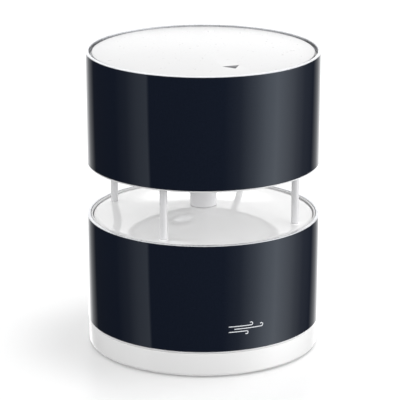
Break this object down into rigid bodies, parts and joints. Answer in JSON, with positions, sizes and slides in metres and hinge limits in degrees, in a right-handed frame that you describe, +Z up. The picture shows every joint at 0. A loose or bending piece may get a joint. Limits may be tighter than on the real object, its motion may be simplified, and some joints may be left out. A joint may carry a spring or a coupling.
{
  "type": "ultrasonic wind gauge",
  "caption": "Wireless ultrasonic wind gauge: two stacked drums with an open air gap held by thin posts and a centre column, on a twist-off base with a tripod socket.",
  "frame": {"origin": "centre of the underside, on the axis of the two drums, at the surface that the gauge stands on", "axes": "+Z up along the drums' axis, -Y towards the marked front, +X to the right seen from the front"},
  "size_m": [0.085, 0.085, 0.11],
  "materials": {
    "navy_sleeve": "gloss",
    "white_plastic": "gloss",
    "white_post": "satin",
    "grey_plastic": "fine texture",
    "black_rubber": "matte",
    "grey_foam": "open-cell foam",
    "brass_insert": "machined",
    "plated_steel": "nickel plated",
    "sensor_can": "satin",
    "circuit_board": "solder mask over glass laminate",
    "black_plastic": "moulded",
    "cable_jacket": "extruded",
    "cell_wrap": "shrink wrap",
    "mark_grey": "satin",
    "clear_plastic": "polished"
  },
  "bodies": {
    "base": {"base_cap": "white_plastic", "tripod_insert": "brass_insert", "foot_ring": "black_rubber", "cell_retainer_pad": "grey_foam"},
    "seal": {"base_seal": "black_rubber"},
    "button": {"pairing_button": "grey_plastic"},
    "housing": {"lower_shell": "white_plastic", "lower_deck": "white_plastic", "upper_shell": "white_plastic", "top_plate": "white_plastic", "cable_socket_lower": "white_plastic", "cable_socket_upper": "white_plastic", "post_1": "white_post", "post_2": "white_post", "post_3": "white_post", "post_4": "white_post", "centre_column": "white_post", "lower_sleeve": "navy_sleeve", "upper_sleeve": "navy_sleeve", "battery_tray": "grey_plastic", "signal_cable": "cable_jacket", "deck_seal": "black_rubber", "top_seal": "black_rubber", "transducer_boot_1": "black_rubber", "transducer_boot_2": "black_rubber", "transducer_boot_3": "black_rubber", "transducer_boot_4": "black_rubber", "cell_bridge_1": "plated_steel", "cell_bridge_2": "plated_steel", "cell_bridge_3": "plated_steel", "terminal_positive": "plated_steel", "terminal_negative": "plated_steel", "tray_screw_1": "plated_steel", "tray_screw_2": "plated_steel", "tray_screw_3": "plated_steel", "post_nut_1": "plated_steel", "post_nut_2": "plated_steel", "post_nut_3": "plated_steel", "post_nut_4": "plated_steel", "board_screw_1": "plated_steel", "board_screw_2": "plated_steel", "antenna": "plated_steel", "transducer_1": "sensor_can", "transducer_2": "sensor_can", "transducer_3": "sensor_can", "transducer_4": "sensor_can", "radio_can": "sensor_can", "main_board": "circuit_board", "sensor_board": "circuit_board", "microcontroller": "black_plastic", "reservoir_capacitor": "black_plastic", "amplifier_chip": "black_plastic", "tact_switch": "black_plastic", "cell_1": "cell_wrap", "cell_2": "cell_wrap", "cell_3": "cell_wrap", "cell_4": "cell_wrap", "north_mark": "mark_grey", "light_pipe": "clear_plastic", "status_led": "clear_plastic"}
  },
  "joints": [
    {"name": "housing_turn", "type": "hinge", "parent": "base", "child": "seal", "pos_m": [0, 0, 0.011], "axis": [0, 0, 1], "range_deg": [0, 90]},
    {"name": "housing_lift", "type": "slide", "parent": "seal", "child": "housing", "axis": [0, 0, 1], "range_m": [0, 0.0023]},
    {"name": "pairing_button_press", "type": "slide", "parent": "housing", "child": "button", "axis": [0, 0, 1], "range_m": [0, 0.0006], "stiffness_N_per_m": 800}
  ],
  "couplings": [
    {"joint": "housing_lift", "follows": "housing_turn", "m_per_rad": 0.0014324}
  ]
}
